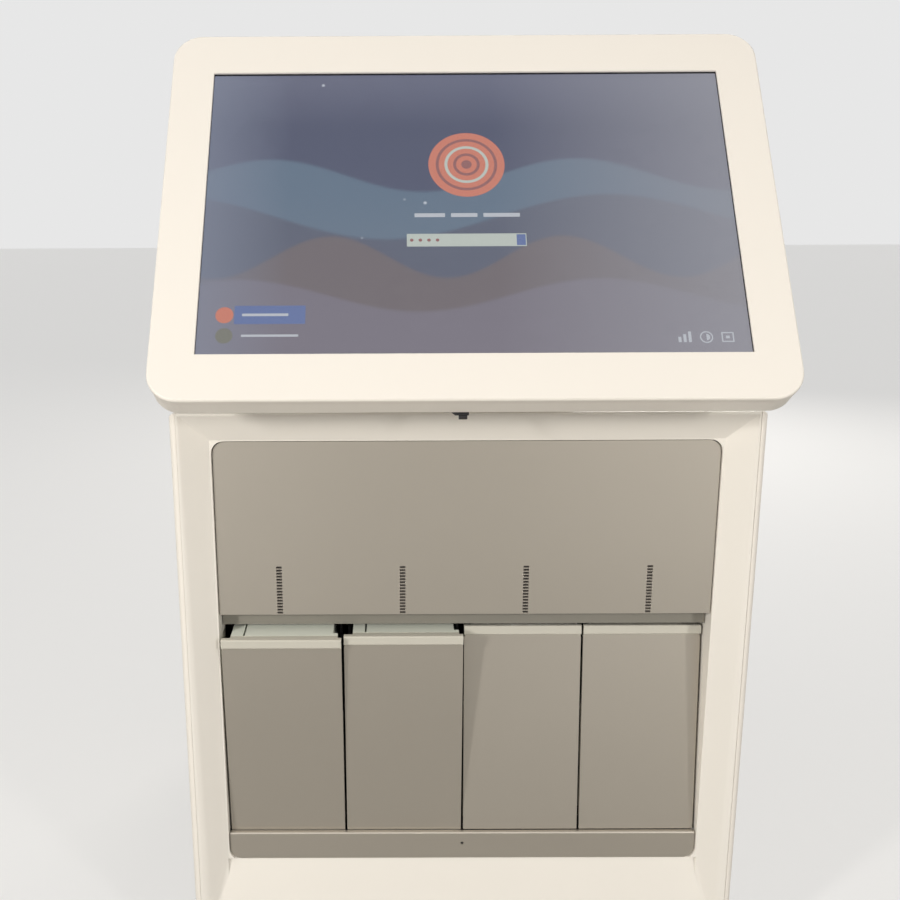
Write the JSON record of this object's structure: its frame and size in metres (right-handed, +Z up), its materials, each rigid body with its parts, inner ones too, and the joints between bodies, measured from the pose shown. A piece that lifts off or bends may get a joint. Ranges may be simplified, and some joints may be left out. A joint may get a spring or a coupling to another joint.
{
  "type": "nucleic acid amplification system",
  "caption": "Bench-top cartridge testing instrument: white cabinet with taupe fascia, bottom-hinged bay doors, sloping chin and a tilting touch display on top.",
  "frame": {"origin": "on the table under the middle of the whole outline, display unit included", "axes": "+X to the right seen from the front, -Y towards the user, +Z up"},
  "size_m": [0.3048, 0.3845, 0.5188],
  "materials": {
    "white_plastic": "satin",
    "panel_white": "satin",
    "taupe_paint": "satin",
    "lip_plastic": "satin",
    "black_plastic": "satin",
    "pale_plastic": "satin",
    "steel": "brushed",
    "zinc_sheet": "satin",
    "clear_plastic": "gloss",
    "board_green": "satin",
    "rubber_black": "matt",
    "touch_glass": "gloss",
    "screen": "gloss"
  },
  "bodies": {
    "cabinet": {"side_panel_left": "white_plastic", "side_panel_right": "white_plastic", "front_surround": "white_plastic", "top_cover": "white_plastic", "monitor_neck": "white_plastic", "rear_panel": "panel_white", "base_tray": "panel_white", "foot_1": "rubber_black", "foot_2": "rubber_black", "foot_3": "rubber_black", "foot_4": "rubber_black", "fascia_panel": "taupe_paint", "kick_strip": "taupe_paint", "header_rail": "taupe_paint", "kick_screw": "steel", "tilt_pin": "steel", "hinge_rail": "zinc_sheet", "module_shelf": "zinc_sheet", "power_supply": "zinc_sheet", "port_block": "zinc_sheet", "power_inlet": "black_plastic", "rocker_case": "black_plastic", "fan_frame_1": "black_plastic", "fan_frame_2": "black_plastic", "light_guide": "clear_plastic", "led_board": "board_green", "main_board": "board_green", "backplane_board": "board_green", "door_1_pin": "steel", "module_1_housing": "black_plastic", "module_1_receiver": "pale_plastic", "door_2_pin": "steel", "module_2_housing": "black_plastic", "module_2_receiver": "pale_plastic", "door_3_pin": "steel", "module_3_housing": "black_plastic", "module_3_receiver": "pale_plastic", "door_4_pin": "steel", "module_4_housing": "black_plastic", "module_4_receiver": "pale_plastic"},
    "display_unit": {"monitor_bezel": "white_plastic", "monitor_rear_shell": "white_plastic", "touch_glass": "touch_glass", "display_panel": "screen", "monitor_tab": "black_plastic", "monitor_yoke": "black_plastic"},
    "rocker": {"power_rocker": "black_plastic"},
    "rotor_1": {"fan_rotor_1": "black_plastic"},
    "rotor_2": {"fan_rotor_2": "black_plastic"},
    "door_1": {"door_1_frame": "lip_plastic", "door_1_skin": "taupe_paint"},
    "door_2": {"door_2_frame": "lip_plastic", "door_2_skin": "taupe_paint"},
    "door_3": {"door_3_frame": "lip_plastic", "door_3_skin": "taupe_paint"},
    "door_4": {"door_4_frame": "lip_plastic", "door_4_skin": "taupe_paint"}
  },
  "joints": [
    {"name": "door_1_hinge", "type": "hinge", "parent": "cabinet", "child": "door_1", "pos_m": [-0.09922, -0.1225, 0.0862], "axis": [1, 0, 0], "range_deg": [-8.5, 41.5]},
    {"name": "door_2_hinge", "type": "hinge", "parent": "cabinet", "child": "door_2", "pos_m": [-0.03308, -0.1225, 0.0862], "axis": [1, 0, 0], "range_deg": [-6.6, 43.4]},
    {"name": "door_3_hinge", "type": "hinge", "parent": "cabinet", "child": "door_3", "pos_m": [0.03308, -0.1225, 0.0862], "axis": [1, 0, 0], "range_deg": [0, 50]},
    {"name": "door_4_hinge", "type": "hinge", "parent": "cabinet", "child": "door_4", "pos_m": [0.09922, -0.1225, 0.0862], "axis": [1, 0, 0], "range_deg": [0, 50]},
    {"name": "display_tilt", "type": "hinge", "parent": "cabinet", "child": "display_unit", "pos_m": [0, -0.101, 0.393], "axis": [1, 0, 0], "range_deg": [-20, 15]},
    {"name": "rocker_pivot", "type": "hinge", "parent": "cabinet", "child": "rocker", "pos_m": [-0.076, 0.1885, 0.046], "axis": [1, 0, 0], "range_deg": [-20, 0]},
    {"name": "fan_1_spin", "type": "hinge", "parent": "cabinet", "child": "rotor_1", "pos_m": [-0.074, 0.1735, 0.25], "axis": [0, 1, 0], "continuous": true},
    {"name": "fan_2_spin", "type": "hinge", "parent": "cabinet", "child": "rotor_2", "pos_m": [0.074, 0.1735, 0.25], "axis": [0, 1, 0], "continuous": true}
  ]
}
